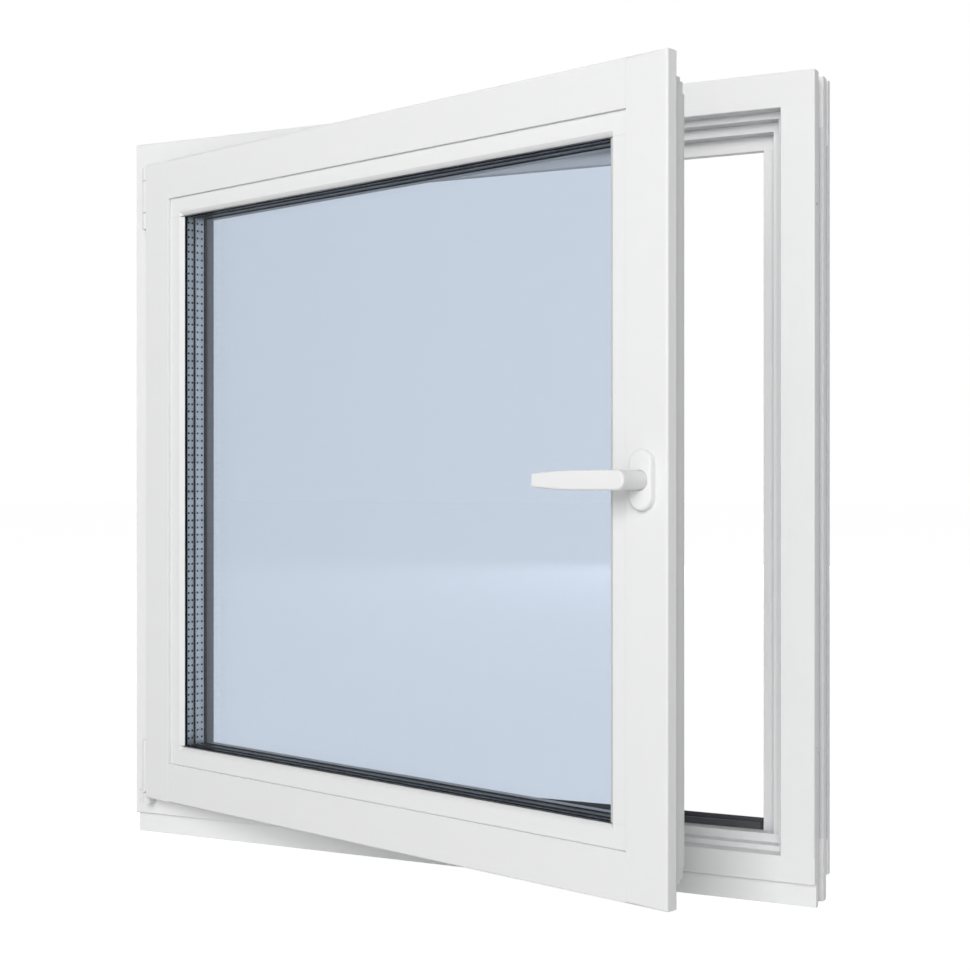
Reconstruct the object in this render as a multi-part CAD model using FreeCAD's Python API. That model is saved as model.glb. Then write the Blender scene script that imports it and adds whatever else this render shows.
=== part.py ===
import FreeCAD, Part
import math
import os

from FreeCAD import Vector

# Frame, seen from the room. X runs to the right, Y from the room to the outside, Z up.
# The origin lies under the middle of the sill extension, on the underside of its front foot.
FRAME_WIDTH = 1000.0
FRAME_HEIGHT = 970.0
FRAME_DEPTH = 72.0
FRAME_ARRIS = 2.0
STEP_ARRIS = 1.5

# Rebate steps of the frame: how wide each step is, and how deep it starts behind the room face
FACE_WIDTH = 42.0
BOTTOM_FACE_HEIGHT = 32.0
HARDWARE_DEPTH = 22.0
SEAL_STEP = 8.0
SEAL_DEPTH = 40.5
MIDDLE_STEP = 11.5
BOTTOM_SEAL_STEP = 6.0
BOTTOM_MIDDLE_STEP = 10.0
OUTER_DEPTH = 59.0
OUTER_STEP = 18.0
BOTTOM_OUTER_DROP = 5.0

# Fixing grooves round the outside of the frame
GROOVE_ONE_START = 18.0
GROOVE_ONE_WIDTH = 23.0
GROOVE_ONE_DEPTH = 5.0
GROOVE_TWO_START = 55.0
GROOVE_TWO_WIDTH = 8.0
GROOVE_TWO_DEPTH = 2.5

# Sill extension below the frame
SILL_HEIGHT = 28.0
SILL_DEPTH = 46.0
SILL_SETBACK = 8.0
SILL_FOOT = 8.0
SILL_GROOVE_WIDTH = 24.0
SILL_GROOVE_DEPTH = 5.0
SILL_BEVEL = 2.0

# Aluminium weather bar on the bottom rail
BAR_FRONT_HEIGHT = 13.0
BAR_REAR_HEIGHT = 18.0
BAR_WALL = 2.0
BAR_CHANNEL = 7.0
BAR_NOSE = 12.0
BAR_NOSE_DROP = 8.0
BAR_END_CAP = 4.0

# Sash, given as it lies closed. Its depths are measured from its own room face.
SIDE_OVERLAP = 4.0
TOP_OVERLAP = 6.0
BOTTOM_OVERLAP = 4.0
CLOSED_GAP = 5.0
LIP_THICKNESS = 18.0
LIP_WIDTH = 19.0
LIP_BACK_ARRIS = 2.5
FIRST_STEP = 3.0
FIRST_STEP_DEPTH = 49.0
SECOND_STEP = 9.0
SECOND_STEP_DEPTH = 58.0
SASH_DEPTH = 73.5
SASH_ARRIS = 3.0
OPEN_ANGLE = 16.8

# Glazing: rebate, beads and the triple glass unit
STILE_FACE = 55.0
BEAD_RECESS = 4.0
BEAD_THICKNESS = 5.0
BEAD_FOOT_WIDTH = 9.0
BEAD_FOOT_DEPTH = 11.0
SIGHT_WIDTH = 82.0
BEAD_BEVEL_DEPTH = 4.5
BEAD_BEVEL_WIDTH = 6.5
GLASS_CLEARANCE = 5.0
GASKET = 2.0
PANE = 4.0
INNER_CAVITY = 12.0
OUTER_CAVITY = 16.0
SPACER_HEIGHT = 7.0
SPACER_BELOW_SIGHT = 0.5
OUTER_BEVEL_DEPTH = 8.0
OUTER_BEVEL_WIDTH = 11.0
BLOCK_LENGTH = 100.0
BLOCK_FROM_END = 120.0

# Weather strip on the outside of the sash bottom
DRIP_HEIGHT = 22.0
DRIP_THICKNESS = 2.5
DRIP_END_INSET = 12.0

# Hinge side: one upright line carries both hinges
HINGE_OFFSET = 7.5
BARREL_RADIUS = 6.0
PIN_RADIUS = 3.0
PIN_CLEARANCE = 0.3
KNUCKLE_GAP = 0.5
TOP_HINGE_DROP = 40.0
UPPER_KNUCKLE = 18.0
ARM_BARREL = 45.5
LOWER_KNUCKLE = 22.0
HINGE_PLATE_WIDTH = 24.0
HINGE_PLATE = 2.5
BEARING_LOW = 18.0
BEARING_HIGH = 33.5
BEARING_FLOOR = 4.0
COVER_LOW = 36.0
COVER_HIGH = 108.0
TILT_HEIGHT = 43.0
POST_HEAD = 5.0
COVER_HOLLOW = 4.3
TILT_PIN_LENGTH = 20.0
BUSH_WALL = 2.0

# Tilt stay in the rebate above the sash
ARM_REACH = 350.0
ARM_WIDTH = 12.0
ARM_THICKNESS = 2.5
ARM_LIFT = 2.0
ARM_CRANK_HEIGHT = 20.0
ARM_PIN_LENGTH = 7.0
ARM_PIN_END_GAP = 1.5
ARM_WEB = 3.0
STAY_SLOT_LENGTH = 26.0
STAY_SLOT_EXTRA = 3.0

# Hardware in the edge of the sash
HARDWARE_LINE = 32.0
FACEPLATE_WIDTH = 16.0
FACEPLATE = 3.0
FACEPLATE_INSET = 60.0

# Seal let into the second step of the sash
SEAL_WIDTH = 5.0
SEAL_THICKNESS = 4.0
SEAL_FROM_STEP = 2.0

# Handle
HANDLE_FROM_EDGE = 30.0
ROSETTE_WIDTH = 30.0
ROSETTE_HEIGHT = 65.0
ROSETTE_THICKNESS = 9.0
ROSETTE_ROUND = 3.0
NECK_RADIUS = 10.5
NECK_CLEARANCE = 0.4
LEVER_REACH = 117.0
LEVER_PROJECTION = 50.0
LEVER_THICKNESS = 13.0
LEVER_ROOT = 21.5
LEVER_TIP = 15.0
LEVER_ROUND = 5.0
SPINDLE = 7.0
SPINDLE_LENGTH = 40.0
SPINDLE_HOLE = 6.0
SPINDLE_END_GAP = 2.0

# Fixing holes through the jambs
FIXING_HOLE_RADIUS = 3.0
FIXING_DEPTH = 12.0
FIXING_FROM_CORNER = 160.0

ROOM_Y = -SILL_SETBACK - SILL_FOOT / 2
FRAME_LOW = SILL_HEIGHT
FRAME_HIGH = SILL_HEIGHT + FRAME_HEIGHT
HALF_WIDTH = FRAME_WIDTH / 2
SEAL_WIDTH_LINE = FACE_WIDTH + SEAL_STEP
MIDDLE_WIDTH_LINE = SEAL_WIDTH_LINE + MIDDLE_STEP
OUTER_WIDTH_LINE = MIDDLE_WIDTH_LINE + OUTER_STEP
BOTTOM_SEAL_LINE = BOTTOM_FACE_HEIGHT + BOTTOM_SEAL_STEP
BOTTOM_MIDDLE_LINE = BOTTOM_SEAL_LINE + BOTTOM_MIDDLE_STEP
BOTTOM_OUTER_LINE = BOTTOM_MIDDLE_LINE - BOTTOM_OUTER_DROP

SASH_Y = ROOM_Y - CLOSED_GAP - LIP_THICKNESS
SASH_LEFT = -HALF_WIDTH + FACE_WIDTH - SIDE_OVERLAP
SASH_RIGHT = -SASH_LEFT
SASH_LOW = FRAME_LOW + BOTTOM_FACE_HEIGHT - BOTTOM_OVERLAP
SASH_HIGH = FRAME_HIGH - FACE_WIDTH + TOP_OVERLAP
BODY_EDGE = LIP_WIDTH
MIDDLE_EDGE = BODY_EDGE + FIRST_STEP
REAR_EDGE = MIDDLE_EDGE + SECOND_STEP

BEAD_BACK = BEAD_RECESS + BEAD_THICKNESS
REBATE_WIDTH = STILE_FACE + BEAD_FOOT_WIDTH
REBATE_START = BEAD_BACK + BEAD_FOOT_DEPTH
GLASS_EDGE = REBATE_WIDTH + GLASS_CLEARANCE
INNER_PANE_AT = BEAD_BACK + GASKET
INNER_SPACER_AT = INNER_PANE_AT + PANE
MIDDLE_PANE_AT = INNER_SPACER_AT + INNER_CAVITY
OUTER_SPACER_AT = MIDDLE_PANE_AT + PANE
OUTER_PANE_AT = OUTER_SPACER_AT + OUTER_CAVITY
OUTER_GASKET_AT = OUTER_PANE_AT + PANE
OUTER_LEG_AT = OUTER_GASKET_AT + GASKET
SPACER_INNER = SIGHT_WIDTH - SPACER_BELOW_SIGHT
SPACER_OUTER = SPACER_INNER - SPACER_HEIGHT

HINGE_X = SASH_LEFT - HINGE_OFFSET
HINGE_Y = SASH_Y + LIP_THICKNESS / 2
HANDLE_X = SASH_RIGHT - HANDLE_FROM_EDGE
HANDLE_Z = (SASH_LOW + SASH_HIGH) / 2
HARDWARE_Y = SASH_Y + HARDWARE_LINE
BODY_TOP = SASH_HIGH - BODY_EDGE

HINGE_TOP = FRAME_HIGH - TOP_HINGE_DROP
ARM_BARREL_HIGH = HINGE_TOP - UPPER_KNUCKLE
ARM_BARREL_LOW = ARM_BARREL_HIGH - ARM_BARREL
HINGE_BOTTOM = ARM_BARREL_LOW - LOWER_KNUCKLE


def box(x_low, x_high, y_low, y_high, z_low, z_high):
    """A block between two corners."""
    return Part.makeBox(x_high - x_low, y_high - y_low, z_high - z_low, Vector(x_low, y_low, z_low))


def cylinder(radius, start, direction, length):
    """A round bar from a start point along a direction."""
    return Part.makeCylinder(radius, length, start, direction)


def inner_box(low, high, sides, bottom, y_low, y_high):
    """A block inside an outline, set in by sides left, right and above, and by bottom below."""
    return box(low[0] + sides, high[0] - sides, y_low, y_high, low[1] + bottom, high[1] - sides)


def ring(low, high, outer, inner, y_low, y_high):
    """A rectangular ring inside an outline, between an outer and an inner inset."""
    return inner_box(low, high, outer, outer, y_low, y_high).cut(
        inner_box(low, high, inner, inner, y_low, y_high))


def fused(shapes):
    """The pieces joined to one shape with no seams."""
    whole = shapes[0]
    for shape in shapes[1:]:
        whole = whole.fuse(shape)
    return whole.removeSplitter()


def edges_at_depth(shape, y, x_limit, z_low, z_high):
    """Edges that lie in the plane at depth y and within a limit from the centre lines."""
    found = []
    for edge in shape.Edges:
        bounds = edge.BoundBox
        flat = abs(bounds.YMin - y) < 0.01 and abs(bounds.YMax - y) < 0.01
        inside = bounds.XMin > -x_limit and bounds.XMax < x_limit
        upright = bounds.ZMin > z_low and bounds.ZMax < z_high
        if flat and inside and upright:
            found.append(edge)
    return found


FRAME_OUTLINE = ((-HALF_WIDTH, FRAME_LOW), (HALF_WIDTH, FRAME_HIGH))
SASH_OUTLINE = ((SASH_LEFT, SASH_LOW), (SASH_RIGHT, SASH_HIGH))
FRAME_BANDS = (
    (FACE_WIDTH, BOTTOM_FACE_HEIGHT, 0.0, HARDWARE_DEPTH),
    (SEAL_WIDTH_LINE, BOTTOM_SEAL_LINE, HARDWARE_DEPTH, SEAL_DEPTH),
    (MIDDLE_WIDTH_LINE, BOTTOM_MIDDLE_LINE, SEAL_DEPTH, OUTER_DEPTH),
    (OUTER_WIDTH_LINE, BOTTOM_OUTER_LINE, OUTER_DEPTH, FRAME_DEPTH),
)


def frame_blank():
    """The whole frame before it is split at its joints: stepped rebate, rounded arrises, grooves."""
    low, high = FRAME_OUTLINE
    outer = inner_box(low, high, 0, 0, ROOM_Y, ROOM_Y + FRAME_DEPTH)
    front = edges_at_depth(outer, ROOM_Y, HALF_WIDTH + 1, FRAME_LOW - 1, FRAME_HIGH + 1)
    outer = outer.makeFillet(FRAME_ARRIS, front)
    for sides, bottom, start, end in FRAME_BANDS:
        outer = outer.cut(inner_box(low, high, sides, bottom, ROOM_Y + start, ROOM_Y + end))
    front = edges_at_depth(outer, ROOM_Y, HALF_WIDTH - FACE_WIDTH + 1,
                           FRAME_LOW + BOTTOM_FACE_HEIGHT - 1, FRAME_HIGH - FACE_WIDTH + 1)
    outer = outer.makeFillet(STEP_ARRIS, front)
    for start, width, depth in ((GROOVE_ONE_START, GROOVE_ONE_WIDTH, GROOVE_ONE_DEPTH),
                                (GROOVE_TWO_START, GROOVE_TWO_WIDTH, GROOVE_TWO_DEPTH)):
        outer = outer.cut(ring(low, high, 0, depth, ROOM_Y + start, ROOM_Y + start + width))
    return outer


def rail_zone(at_top):
    """The space that the head or the bottom rail takes over the full width of the frame."""
    low, high = FRAME_OUTLINE
    blocks = []
    for sides, bottom, start, end in FRAME_BANDS:
        z_low = high[1] - sides if at_top else low[1]
        z_high = high[1] if at_top else low[1] + bottom
        blocks.append(box(low[0], high[0], ROOM_Y + start, ROOM_Y + end, z_low, z_high))
    return fused(blocks)


def fixing_holes(side):
    """Screw holes through a jamb, seen in the rebate; side is -1 for the hinge jamb."""
    holes = []
    for z in (FRAME_LOW + FIXING_FROM_CORNER, FRAME_HIGH - FIXING_FROM_CORNER):
        start = Vector(side * HALF_WIDTH, ROOM_Y + FIXING_DEPTH, z)
        holes.append(cylinder(FIXING_HOLE_RADIUS, start, Vector(-side, 0, 0), FACE_WIDTH))
    return holes


def frame_members():
    """Head and bottom rail over the full width, jambs scribed between them."""
    blank = frame_blank()
    head_zone = rail_zone(True)
    bottom_zone = rail_zone(False)
    middle = blank.cut(head_zone).cut(bottom_zone)
    low, high = FRAME_OUTLINE
    left = middle.common(box(low[0], 0, ROOM_Y, ROOM_Y + FRAME_DEPTH, low[1], high[1]))
    right = middle.common(box(0, high[0], ROOM_Y, ROOM_Y + FRAME_DEPTH, low[1], high[1]))
    for hole in fixing_holes(-1):
        left = left.cut(hole)
    for hole in fixing_holes(1):
        right = right.cut(hole)
    return {
        "frame_head": blank.common(head_zone),
        "frame_bottom_rail": blank.common(bottom_zone),
        "frame_hinge_jamb": left,
        "frame_lock_jamb": right,
    }


def sill_extension():
    """The profile under the frame that the inner and outer window boards butt against."""
    y_low = ROOM_Y + SILL_SETBACK
    y_high = y_low + SILL_DEPTH
    body = box(-HALF_WIDTH, HALF_WIDTH, y_low, y_high, 0, SILL_HEIGHT)
    body = body.makeChamfer(SILL_BEVEL, edges_at_depth(body, y_high, HALF_WIDTH + 1, -1, 1))
    groove_start = y_low + SILL_FOOT
    body = body.cut(box(-HALF_WIDTH, HALF_WIDTH, groove_start, groove_start + SILL_GROOVE_WIDTH,
                        0, SILL_GROOVE_DEPTH))
    side_start = ROOM_Y + GROOVE_ONE_START
    for x_low in (-HALF_WIDTH, HALF_WIDTH - GROOVE_ONE_DEPTH):
        body = body.cut(box(x_low, x_low + GROOVE_ONE_DEPTH, side_start, side_start + GROOVE_ONE_WIDTH,
                            0, SILL_HEIGHT))
    return body


def extruded(points, x_low, x_high):
    """A profile of (depth, height) points swept along X."""
    corners = [Vector(x_low, y, z) for y, z in points]
    wire = Part.makePolygon(corners + [corners[0]])
    return Part.Face(wire).extrude(Vector(x_high - x_low, 0, 0))


def weather_bar():
    """Aluminium rain bar with two upstands and a nose over the outer edge of the bottom rail."""
    y = ROOM_Y + OUTER_DEPTH
    z = FRAME_LOW + BOTTOM_OUTER_LINE
    rear = y + BAR_WALL + BAR_CHANNEL
    nose = ROOM_Y + FRAME_DEPTH + BAR_NOSE
    points = [
        (y, z), (y, z + BAR_FRONT_HEIGHT), (y + BAR_WALL, z + BAR_FRONT_HEIGHT), (y + BAR_WALL, z + BAR_WALL),
        (rear, z + BAR_WALL), (rear, z + BAR_REAR_HEIGHT), (rear + BAR_WALL, z + BAR_REAR_HEIGHT),
        (nose, z + BAR_WALL), (nose, z - BAR_NOSE_DROP), (nose - BAR_WALL, z - BAR_NOSE_DROP),
        (nose - BAR_WALL, z),
    ]
    half = HALF_WIDTH - OUTER_WIDTH_LINE
    bar = extruded(points, -half + BAR_END_CAP, half - BAR_END_CAP)
    caps = [extruded(points, side, side + BAR_END_CAP) for side in (-half, half - BAR_END_CAP)]
    return bar, Part.makeCompound(caps)


def sash_seal():
    """Rubber seal in its groove, flush with the second step, facing the step of the frame."""
    low, high = SASH_OUTLINE
    y_high = SASH_Y + SECOND_STEP_DEPTH
    outer = MIDDLE_EDGE + SEAL_FROM_STEP
    return ring(low, high, outer, outer + SEAL_WIDTH, y_high - SEAL_THICKNESS, y_high)


def tapered_block(first_inset, y_first, second_inset, y_second):
    """A block inside the sash outline whose four sides lean, from one inset to another."""
    low, high = SASH_OUTLINE
    wires = []
    for inset, y in ((first_inset, y_first), (second_inset, y_second)):
        x_low, x_high = low[0] + inset, high[0] - inset
        z_low, z_high = low[1] + inset, high[1] - inset
        corners = [Vector(x_low, y, z_low), Vector(x_high, y, z_low), Vector(x_high, y, z_high),
                   Vector(x_low, y, z_high), Vector(x_low, y, z_low)]
        wires.append(Part.makePolygon(corners))
    return Part.makeLoft(wires, True, True)


def sash_blank():
    """The whole sash before it is split at its joints."""
    low, high = SASH_OUTLINE
    lip = inner_box(low, high, 0, 0, SASH_Y, SASH_Y + LIP_THICKNESS)
    edges = edges_at_depth(lip, SASH_Y, HALF_WIDTH, FRAME_LOW, FRAME_HIGH)
    lip = lip.makeFillet(SASH_ARRIS, edges)
    edges = edges_at_depth(lip, SASH_Y + LIP_THICKNESS, HALF_WIDTH, FRAME_LOW, FRAME_HIGH)
    layers = [lip.makeFillet(LIP_BACK_ARRIS, edges)]
    for edge, start, end in ((BODY_EDGE, LIP_THICKNESS, FIRST_STEP_DEPTH),
                             (MIDDLE_EDGE, FIRST_STEP_DEPTH, SECOND_STEP_DEPTH),
                             (REAR_EDGE, SECOND_STEP_DEPTH, SASH_DEPTH)):
        layers.append(inner_box(low, high, edge, edge, SASH_Y + start, SASH_Y + end))
    whole = fused(layers)
    whole = whole.cut(inner_box(low, high, STILE_FACE, STILE_FACE, SASH_Y, SASH_Y + REBATE_START))
    whole = whole.cut(inner_box(low, high, REBATE_WIDTH, REBATE_WIDTH, SASH_Y, SASH_Y + OUTER_LEG_AT))
    whole = whole.cut(inner_box(low, high, SIGHT_WIDTH, SIGHT_WIDTH, SASH_Y, SASH_Y + SASH_DEPTH))
    whole = whole.cut(tapered_block(SIGHT_WIDTH, SASH_Y + SASH_DEPTH - OUTER_BEVEL_DEPTH,
                                    SIGHT_WIDTH - OUTER_BEVEL_WIDTH, SASH_Y + SASH_DEPTH))
    for recess in (*faceplate_blocks(), sash_seal()):
        whole = whole.cut(recess)
    return whole


def faceplate_blocks():
    """The strips let into the lock edge, the top edge and the bottom edge of the sash."""
    y_low = HARDWARE_Y - FACEPLATE_WIDTH / 2
    y_high = HARDWARE_Y + FACEPLATE_WIDTH / 2
    lock_edge = SASH_RIGHT - BODY_EDGE
    x_low = SASH_LEFT + BODY_EDGE + FACEPLATE_INSET
    x_high = SASH_RIGHT - BODY_EDGE - FACEPLATE_INSET
    z_low = SASH_LOW + BODY_EDGE + FACEPLATE_INSET
    z_high = SASH_HIGH - BODY_EDGE - FACEPLATE_INSET
    return (
        box(lock_edge - FACEPLATE, lock_edge, y_low, y_high, z_low, z_high),
        box(x_low, x_high, y_low, y_high, BODY_TOP - FACEPLATE, BODY_TOP),
        box(x_low, x_high, y_low, y_high, SASH_LOW + BODY_EDGE, SASH_LOW + BODY_EDGE + FACEPLATE),
    )


def stile_zone(side):
    """The space that a sash stile takes over the full height; side is -1 at the hinges."""
    bands = ((STILE_FACE, 0.0, REBATE_START), (REBATE_WIDTH, REBATE_START, OUTER_LEG_AT),
             (SIGHT_WIDTH, OUTER_LEG_AT, SASH_DEPTH))
    blocks = []
    for width, start, end in bands:
        x_low = SASH_LEFT if side < 0 else SASH_RIGHT - width
        blocks.append(box(x_low, x_low + width, SASH_Y + start, SASH_Y + end, SASH_LOW, SASH_HIGH))
    return fused(blocks)


def stay_slot():
    """The slot in the top edge of the sash where the pin of the stay runs."""
    x_high = HINGE_X + ARM_REACH + PIN_RADIUS + STAY_SLOT_EXTRA
    half = PIN_RADIUS + STAY_SLOT_EXTRA / 2
    return box(x_high - STAY_SLOT_LENGTH, x_high, HARDWARE_Y - half, HARDWARE_Y + half,
               BODY_TOP - ARM_PIN_LENGTH, BODY_TOP)


def sash_members():
    """Stiles over the full height of the sash, rails between them."""
    blank = sash_blank()
    left_zone = stile_zone(-1)
    right_zone = stile_zone(1)
    middle = blank.cut(left_zone).cut(right_zone)
    low, high = SASH_OUTLINE
    centre = (low[1] + high[1]) / 2
    top = middle.common(box(low[0], high[0], SASH_Y, SASH_Y + SASH_DEPTH, centre, high[1]))
    bottom = middle.common(box(low[0], high[0], SASH_Y, SASH_Y + SASH_DEPTH, low[1], centre))
    hinge_stile = blank.common(left_zone)
    tilt_hole = cylinder(PIN_RADIUS + BUSH_WALL, Vector(SASH_LEFT, HINGE_Y, FRAME_LOW + TILT_HEIGHT),
                         Vector(1, 0, 0), TILT_PIN_LENGTH)
    spindle_hole = cylinder(SPINDLE_HOLE, Vector(HANDLE_X, SASH_Y, HANDLE_Z), Vector(0, 1, 0),
                            SPINDLE_LENGTH + SPINDLE_END_GAP)
    return {
        "sash_hinge_stile": hinge_stile.cut(tilt_hole),
        "sash_lock_stile": blank.common(right_zone).cut(spindle_hole),
        "sash_top_rail": top.cut(stay_slot()),
        "sash_bottom_rail": bottom,
    }


def glazing_beads():
    """Four beads with a bevelled inner edge, the upright ones between the level ones."""
    low, high = SASH_OUTLINE
    plate = ring(low, high, STILE_FACE, SIGHT_WIDTH, SASH_Y + BEAD_RECESS, SASH_Y + BEAD_BACK)
    plate = plate.cut(tapered_block(SIGHT_WIDTH - BEAD_BEVEL_WIDTH, SASH_Y + BEAD_RECESS,
                                    SIGHT_WIDTH, SASH_Y + BEAD_RECESS + BEAD_BEVEL_DEPTH))
    foot = ring(low, high, STILE_FACE, REBATE_WIDTH, SASH_Y + BEAD_BACK, SASH_Y + REBATE_START)
    whole = plate.fuse(foot)
    y_range = (SASH_Y, SASH_Y + SASH_DEPTH)
    top_zone = fused([
        box(low[0], high[0], y_range[0], SASH_Y + BEAD_BACK, high[1] - SIGHT_WIDTH, high[1]),
        box(low[0], high[0], SASH_Y + BEAD_BACK, y_range[1], high[1] - REBATE_WIDTH, high[1])])
    bottom_zone = fused([
        box(low[0], high[0], y_range[0], SASH_Y + BEAD_BACK, low[1], low[1] + SIGHT_WIDTH),
        box(low[0], high[0], SASH_Y + BEAD_BACK, y_range[1], low[1], low[1] + REBATE_WIDTH)])
    middle = whole.cut(top_zone).cut(bottom_zone)
    left_half = box(low[0], 0, y_range[0], y_range[1], low[1], high[1])
    right_half = box(0, high[0], y_range[0], y_range[1], low[1], high[1])
    return {
        "glazing_bead_top": whole.common(top_zone),
        "glazing_bead_bottom": whole.common(bottom_zone),
        "glazing_bead_left": middle.common(left_half),
        "glazing_bead_right": middle.common(right_half),
    }


def pane(start):
    """One glass pane of the unit, at a depth behind the room face of the sash."""
    low, high = SASH_OUTLINE
    return inner_box(low, high, GLASS_EDGE, GLASS_EDGE, SASH_Y + start, SASH_Y + start + PANE)


def glass_ring(start, thickness, outer, inner):
    """A rectangular ring of the glass unit."""
    low, high = SASH_OUTLINE
    return ring(low, high, outer, inner, SASH_Y + start, SASH_Y + start + thickness)


def glazing_blocks():
    """Packers between the glass unit and the rebate, two on each side."""
    y_low = SASH_Y + REBATE_START
    y_high = SASH_Y + OUTER_GASKET_AT
    x_edges = (SASH_LEFT + REBATE_WIDTH + BLOCK_FROM_END,
               SASH_RIGHT - REBATE_WIDTH - BLOCK_FROM_END - BLOCK_LENGTH)
    z_edges = (SASH_LOW + REBATE_WIDTH + BLOCK_FROM_END,
               SASH_HIGH - REBATE_WIDTH - BLOCK_FROM_END - BLOCK_LENGTH)
    blocks = []
    for x in x_edges:
        for z in (SASH_LOW + REBATE_WIDTH, SASH_HIGH - GLASS_EDGE):
            blocks.append(box(x, x + BLOCK_LENGTH, y_low, y_high, z, z + GLASS_CLEARANCE))
    for z in z_edges:
        for x in (SASH_LEFT + REBATE_WIDTH, SASH_RIGHT - GLASS_EDGE):
            blocks.append(box(x, x + GLASS_CLEARANCE, y_low, y_high, z, z + BLOCK_LENGTH))
    return Part.makeCompound(blocks)


def sash_drip():
    """Aluminium strip over the lower outer edge of the sash."""
    y = SASH_Y + SASH_DEPTH
    z = SASH_LOW + REAR_EDGE
    x_low = SASH_LEFT + REAR_EDGE + DRIP_END_INSET
    return box(x_low, -x_low, y, y + DRIP_THICKNESS, z, z + DRIP_HEIGHT)


def hinge_knuckle(z_low, z_high):
    """A knuckle with a round front, reaching back to the face of the frame."""
    barrel = cylinder(BARREL_RADIUS, Vector(HINGE_X, HINGE_Y, z_low), Vector(0, 0, 1), z_high - z_low)
    back = box(HINGE_X - BARREL_RADIUS, HINGE_X + BARREL_RADIUS, HINGE_Y, ROOM_Y, z_low, z_high)
    return barrel.fuse(back).removeSplitter()


def upright_bore(radius, z_low, z_high):
    """A round hole along the hinge line."""
    return cylinder(radius, Vector(HINGE_X, HINGE_Y, z_low), Vector(0, 0, 1), z_high - z_low)


def top_bearing():
    """The frame's half of the top hinge: two knuckles, and the pin through them."""
    bore = upright_bore(PIN_RADIUS, HINGE_BOTTOM, HINGE_TOP)
    lower = hinge_knuckle(HINGE_BOTTOM, ARM_BARREL_LOW - KNUCKLE_GAP).cut(bore)
    upper = hinge_knuckle(ARM_BARREL_HIGH + KNUCKLE_GAP, HINGE_TOP).cut(bore)
    return Part.makeCompound([lower, upper]), bore


def corner_bearing():
    """The frame's half of the corner hinge, with a blind socket for the swivel post."""
    z_low = FRAME_LOW + BEARING_LOW
    z_high = FRAME_LOW + BEARING_HIGH
    block = hinge_knuckle(z_low, z_high)
    plate = box(HINGE_X - HINGE_PLATE_WIDTH, HINGE_X, ROOM_Y - HINGE_PLATE, ROOM_Y, z_low, z_high)
    block = block.fuse(plate).removeSplitter()
    return block.cut(upright_bore(PIN_RADIUS + PIN_CLEARANCE, z_low + BEARING_FLOOR, z_high))


def pivot_post():
    """The link that turns in the corner bearing and carries the level pin the sash tilts on."""
    z_low = FRAME_LOW + BEARING_LOW + BEARING_FLOOR + PIN_CLEARANCE
    z_high = FRAME_LOW + TILT_HEIGHT + POST_HEAD
    post = upright_bore(PIN_RADIUS, z_low, z_high)
    pin = cylinder(PIN_RADIUS, Vector(HINGE_X, HINGE_Y, FRAME_LOW + TILT_HEIGHT), Vector(1, 0, 0),
                   HINGE_OFFSET + TILT_PIN_LENGTH - PIN_CLEARANCE)
    return post.fuse(pin).removeSplitter()


def corner_cover():
    """The sash's half of the corner hinge: a hollow cap over the swivel post."""
    z_low = FRAME_LOW + COVER_LOW
    z_high = FRAME_LOW + COVER_HIGH
    cap = upright_bore(BARREL_RADIUS, z_low, z_high)
    web = box(HINGE_X, SASH_LEFT, HINGE_Y - PIN_RADIUS - BUSH_WALL, HINGE_Y + PIN_RADIUS + BUSH_WALL,
              z_low, z_high)
    hollow = upright_bore(COVER_HOLLOW, z_low, FRAME_LOW + TILT_HEIGHT + POST_HEAD + KNUCKLE_GAP * 2)
    pin_hole = cylinder(PIN_RADIUS + PIN_CLEARANCE, Vector(HINGE_X, HINGE_Y, FRAME_LOW + TILT_HEIGHT),
                        Vector(1, 0, 0), HINGE_OFFSET)
    return cap.fuse(web).removeSplitter().cut(hollow).cut(pin_hole)


def tilt_bush():
    """The metal bush in the sash that turns on the level pin."""
    start = Vector(SASH_LEFT, HINGE_Y, FRAME_LOW + TILT_HEIGHT)
    outside = cylinder(PIN_RADIUS + BUSH_WALL, start, Vector(1, 0, 0), TILT_PIN_LENGTH)
    return outside.cut(cylinder(PIN_RADIUS + PIN_CLEARANCE, start, Vector(1, 0, 0), TILT_PIN_LENGTH))


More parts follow.
